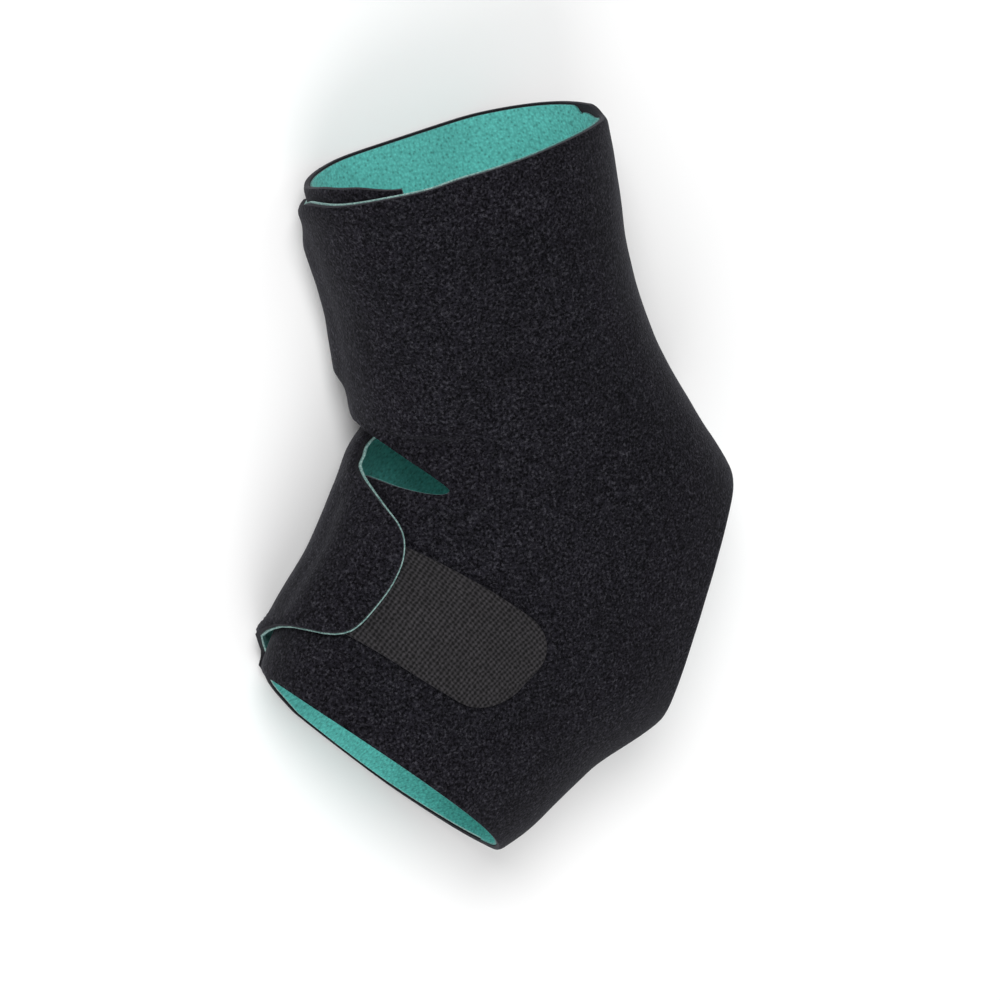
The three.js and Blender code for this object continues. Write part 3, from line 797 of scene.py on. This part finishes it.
def weave_places(r, first, second):
    """The cloth's map in steps of a weave, whose two steps are given in millimetres."""
    span = first[0] * second[1] - first[1] * second[0]
    join = r.nodes.new("ShaderNodeCombineXYZ")
    for socket, (x, y) in zip(join.inputs, ((second[1], -second[0]), (-first[1], first[0]))):
        dot = r.nodes.new("ShaderNodeVectorMath")
        dot.operation = "DOT_PRODUCT"
        dot.inputs[1].default_value = (10 * x / span, 10 * y / span, 0)
        r.wire(r.map.outputs["UV"], dot.inputs[0])
        r.wire(dot.outputs["Value"], socket)
    return join.outputs["Vector"]


def cells_on(r, first, second, jitter, feature):
    """How far each place is from the middle of its cell, with one cell to each step of a weave."""
    cells = r.nodes.new("ShaderNodeTexVoronoi")
    cells.voronoi_dimensions = "2D"
    cells.feature = feature
    cells.inputs["Scale"].default_value = 1
    cells.inputs["Randomness"].default_value = jitter
    r.wire(weave_places(r, first, second), cells.inputs["Vector"])
    return cells.outputs["Distance"]


def teal_mesh():
    """Knitted mesh: soft light loops with darker gaps, painted shade down in the ankle and painted light
    towards the foot opening.
    """
    r = Recipe("teal_mesh")
    loops = r.stretch(cells_on(r, (0.85, 0.2), (-0.15, 1.0), 0.8, "SMOOTH_F1"), 0.62, 0.0)
    gaps = r.stretch(cells_on(r, (2.1, 0.9), (-0.9, 2.2), 0.9, "F1"), 0.05, 0.22)
    shade = r.stretch(r.noise(1000, 3, 0.6), 0.3, 0.7, 0.8, 1.2)
    cloudy = r.stretch(r.noise(60, 2, 0.5), 0.3, 0.7, 0.93, 1.07)
    color = r.mix(loops, (0.082, 0.375, 0.345), (0.120, 0.520, 0.475))
    color = r.mix(gaps, (0.060, 0.270, 0.245), color)
    down = r.nodes.new("ShaderNodeSeparateXYZ")
    r.wire(r.map.outputs["UV"], down.inputs["Vector"])
    # Painted shade: the mesh is darkened to 0.6 down in the ankle, and painted light: it is brightened up
    # to 1.35 towards the foot opening.
    ankle = r.stretch(down.outputs["Y"], 6.2, 8.2)
    ankle = r.math("MULTIPLY", ankle, r.stretch(down.outputs["Y"], 17.0, 14.5))
    painted_shade_and_light = r.math("SUBTRACT", 1.0, r.math("MULTIPLY", ankle, 0.4))
    painted_shade_and_light = r.math("MULTIPLY", painted_shade_and_light, r.stretch(down.outputs["Y"], 18.0, 21.0, 1.0, 1.35))
    color = r.mix(1.0, color, r.math("MULTIPLY", r.math("MULTIPLY", shade, cloudy), painted_shade_and_light), "MULTIPLY")
    return r.finish(color, r.bump(loops, 0.2, 0.4), 0.85, 0.2, 0.1, 0.5, (0.8, 1.0, 1.0))


def knit_rim():
    """The lining's cut edge: dark teal, and pale where the laminate shows past the plush."""
    r = Recipe("teal_rim")
    threads = r.noise(1500, 2, 0.6)
    pale = r.nodes.new("ShaderNodeAttribute")
    pale.attribute_name = "pale"
    dark = r.mix(r.stretch(threads, 0.35, 0.65), (0.02, 0.10, 0.09), (0.06, 0.26, 0.24))
    light = r.mix(r.stretch(threads, 0.35, 0.65), (0.09, 0.19, 0.18), (0.30, 0.45, 0.42))
    color = r.mix(pale.outputs["Fac"], dark, light)
    return r.finish(color, r.bump(threads, 0.2, 0.5), 0.85, 0.2, 0.1, 0.5, (0.9, 1.0, 1.0))


def hook_tape():
    """Woven hook tape: rows of small stiff hooks that lean along the weave."""
    r = Recipe("hook_tape")
    shift = r.nodes.new("ShaderNodeVectorMath")
    shift.operation = "MULTIPLY_ADD"
    shift.inputs[1].default_value = (0.9, 0.9, 0.9)
    r.wire(r.noise(700, 1, 0.5, "Color"), shift.inputs[0])
    r.wire(weave_places(r, (-0.08, -1.106), (-1.32, 0.317)), shift.inputs[2])
    place = r.nodes.new("ShaderNodeSeparateXYZ")
    r.wire(shift.outputs["Vector"], place.inputs["Vector"])
    across = r.math("SINE", r.math("MULTIPLY", place.outputs["X"], math.tau), 0)
    along = r.math("SINE", r.math("MULTIPLY", place.outputs["Y"], math.tau), 0)
    weave = r.math("ADD", r.math("MULTIPLY", across, 0.8), along)
    knots = r.stretch(weave, -1.3, 1.5)
    speck = r.stretch(r.noise(1300, 2, 0.6), 0.3, 0.7, 0.7, 1.3)
    cloudy = r.stretch(r.noise(90, 3, 0.5), 0.3, 0.7, 0.9, 1.1)
    color = r.mix(knots, (0.0022, 0.0020, 0.0023), (0.030, 0.0280, 0.0305))
    color = r.mix(1.0, color, r.math("MULTIPLY", speck, cloudy), "MULTIPLY")
    return r.finish(color, r.bump(knots, 0.3, 0.6), 0.8, 0.15, 0.05, 0.5, (0.9, 0.87, 0.9))


PLUSH = black_plush()
FOAM = foam_cut()
MESH = teal_mesh()
RIM = knit_rim()
HOOKS = hook_tape()

# The pieces
shell_patches = [("near", near_upper(False)), ("near", near_lower(False)), ("far", far_side(False))]
plush_shell = cloth_mesh("plush_shell", shell_patches, WALL - SHELL_THICKNESS, WALL, EDGE_PINCH)
dress(plush_shell, (PLUSH, FOAM, FOAM), SHELL_ROUNDING)

knit_patches = [("near", near_upper(True)), ("near", near_lower(True)), ("far", far_side(True))]
mesh_lining = cloth_mesh("mesh_lining", knit_patches, KNIT_BOTTOM, KNIT_TOP, 0)
dress(mesh_lining, (RIM, MESH, RIM), KNIT_ROUNDING)

instep_tab = cloth_mesh("instep_tab", [("near", tab_patch(INSTEP_TAB))], 0, TAB_THICKNESS, TAB_PINCH)
leg_tab = cloth_mesh("leg_tab", [("near", tab_patch(LEG_TAB))], 0, TAB_THICKNESS, TAB_PINCH)
for tab in (instep_tab, leg_tab):
    dress(tab, (HOOKS, FOAM, FOAM), TAB_ROUNDING)

for piece, node, slot in (
    (plush_shell, "body_shell", "plush_foam"),
    (mesh_lining, "lining", "mesh_lining"),
    (instep_tab, "instep_hook_tab", "hook_tape"),
    (leg_tab, "leg_hook_tab", "hook_tape"),
):
    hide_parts(node)
    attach(piece, "root")

# The floor
bpy.ops.object.select_all(action="DESELECT")
bpy.ops.mesh.primitive_plane_add(size=8, location=(0, 0, 0))
floor = bpy.context.active_object
floor.name = "floor"
paper = bpy.data.materials.new("pale_floor")
paper.use_nodes = True
paper_look = paper.node_tree.nodes["Principled BSDF"]
paper_look.inputs["Base Color"].default_value = (0.9, 0.9, 0.9, 1)
paper_look.inputs["Roughness"].default_value = 0.9
floor.data.materials.append(paper)

# The camera, at the photograph's angle, and soft studio light
TO_CAMERA = Vector((-0.4367, 0.3001, 0.8480))
CAMERA_RIGHT = Vector((0.8424, -0.1945, 0.5026))
CAMERA_UP = Vector((0.3158, 0.9339, -0.1679))
TARGET = Vector((4.752, 4.18, 33)) * MM
CAMERA_DISTANCE = 1.3
camera_data = bpy.data.cameras.new("camera")
camera_data.sensor_width = 36
camera_data.lens = 156
camera_data.shift_x = 0.0055
camera_data.shift_y = -0.024
camera_data.dof.use_dof = False
camera = bpy.data.objects.new("camera", camera_data)
turn = Matrix((CAMERA_RIGHT, CAMERA_UP, TO_CAMERA)).transposed().to_4x4()
camera.matrix_world = Matrix.Translation(TARGET + TO_CAMERA * CAMERA_DISTANCE) @ turn
bpy.context.scene.collection.objects.link(camera)
bpy.context.scene.camera = camera


def soft_light(name, place, size, power):
    light = bpy.data.lights.new(name, "AREA")
    light.shape = "DISK"
    light.size = size
    light.energy = power
    lamp = bpy.data.objects.new(name, light)
    turned = (TARGET - Vector(place)).to_track_quat("-Z", "Y").to_matrix().to_4x4()
    lamp.matrix_world = Matrix.Translation(place) @ turned
    bpy.context.scene.collection.objects.link(lamp)


soft_light("key", (-0.75, 1.35, 1.9), 1.0, 40)
soft_light("fill", (-1.1, -1.2, 1.5), 1.6, 22)
sky = bpy.data.worlds.new("studio")
sky.use_nodes = True
sky.node_tree.nodes["Background"].inputs["Color"].default_value = (1, 1, 1, 1)
sky.node_tree.nodes["Background"].inputs["Strength"].default_value = 0.5
bpy.context.scene.world = sky
bpy.context.scene.view_settings.view_transform = "Standard"
